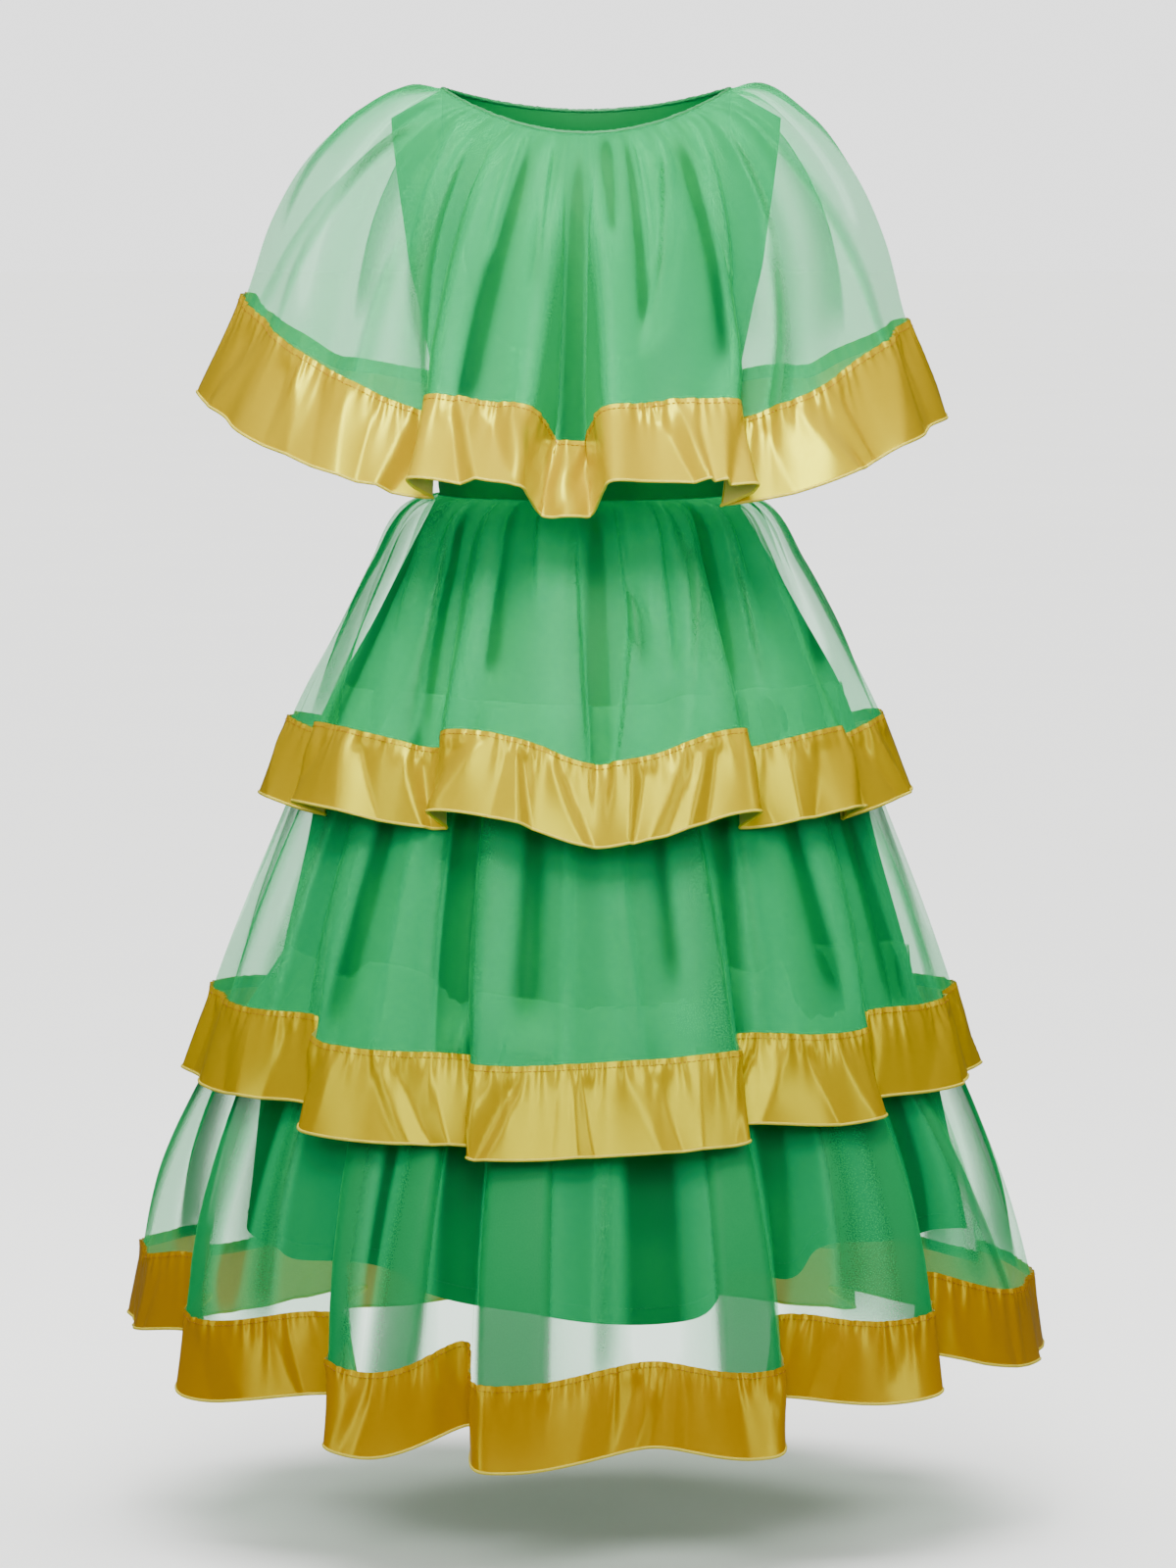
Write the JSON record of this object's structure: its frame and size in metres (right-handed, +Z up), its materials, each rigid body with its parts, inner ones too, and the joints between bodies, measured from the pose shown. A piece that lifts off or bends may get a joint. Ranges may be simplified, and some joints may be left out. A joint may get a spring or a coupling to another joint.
{
  "type": "christmas tree costume",
  "caption": "Child's worn-shape costume dress: sheer cape and gathered skirt tiers, each edged with satin ribbon, over a sleeveless bodice and an underskirt.",
  "frame": {"origin": "midway between the tops of the shoulders, at the neckline's highest level, where the wearer holds the dress up", "axes": "+Z up, the front of the dress faces -Y, +X is to the right of someone who looks at the front"},
  "size_m": [0.6611, 0.6003, 0.9369],
  "materials": {
    "organza": "sheer green organza with a fine sparkle",
    "satin": "opaque green satin, soft sheen",
    "ribbon": "gold satin ribbon, bright sheen",
    "binding": "pale green rolled edge"
  },
  "bodies": {
    "root": {"bodice_front": "satin", "bodice_back": "satin", "neck_binding": "binding", "cape": "organza", "cape_ribbon": "ribbon", "underskirt": "satin", "tier_1": "organza", "tier_1_ribbon": "ribbon", "tier_2": "organza", "tier_2_ribbon": "ribbon", "tier_3": "organza", "tier_3_ribbon": "ribbon"}
  },
  "joints": []
}
